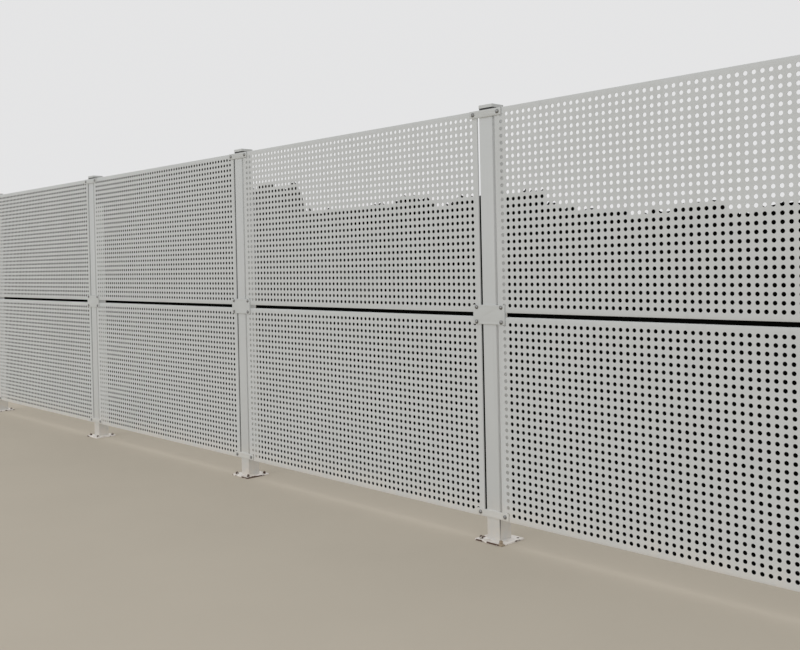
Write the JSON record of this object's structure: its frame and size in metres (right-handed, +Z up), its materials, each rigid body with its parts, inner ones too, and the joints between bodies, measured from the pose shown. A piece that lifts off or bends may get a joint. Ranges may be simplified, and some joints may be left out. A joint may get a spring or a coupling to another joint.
{
  "type": "perforated site hoarding",
  "caption": "Run of light grey site hoarding: square steel posts on base plates, with two punched, folded sheet panels stacked in each bay and held by bolted clamp plates.",
  "frame": {"origin": "centre of the underside of the middle post's base plate, on the ground", "axes": "+X along the fence, to the right seen from the street; +Y away from the street, towards the site; +Z up"},
  "size_m": [10.26, 0.2, 2.515],
  "materials": {
    "panel_coat": "satin powder coat",
    "post_coat": "satin powder coat",
    "clamp_coat": "satin powder coat",
    "plate_coat": "splashed paint, dusty",
    "cap_coat": "moulded, matt"
  },
  "bodies": {
    "root": {"post_1": "post_coat", "post_2": "post_coat", "post_3": "post_coat", "post_4": "post_coat", "post_5": "post_coat", "base_plate_1": "plate_coat", "base_plate_2": "plate_coat", "base_plate_3": "plate_coat", "base_plate_4": "plate_coat", "base_plate_5": "plate_coat", "post_cap_1": "cap_coat", "post_cap_2": "cap_coat", "post_cap_3": "cap_coat", "post_cap_4": "cap_coat", "post_cap_5": "cap_coat", "top_clamp_1": "clamp_coat", "top_clamp_2": "clamp_coat", "top_clamp_3": "clamp_coat", "top_clamp_4": "clamp_coat", "top_clamp_5": "clamp_coat", "middle_clamp_1": "clamp_coat", "middle_clamp_2": "clamp_coat", "middle_clamp_3": "clamp_coat", "middle_clamp_4": "clamp_coat", "middle_clamp_5": "clamp_coat", "bottom_clamp_1": "clamp_coat", "bottom_clamp_2": "clamp_coat", "bottom_clamp_3": "clamp_coat", "bottom_clamp_4": "clamp_coat", "bottom_clamp_5": "clamp_coat", "upper_panel_1": "panel_coat", "upper_panel_2": "panel_coat", "upper_panel_3": "panel_coat", "upper_panel_4": "panel_coat", "lower_panel_1": "panel_coat", "lower_panel_2": "panel_coat", "lower_panel_3": "panel_coat", "lower_panel_4": "panel_coat"}
  },
  "joints": []
}
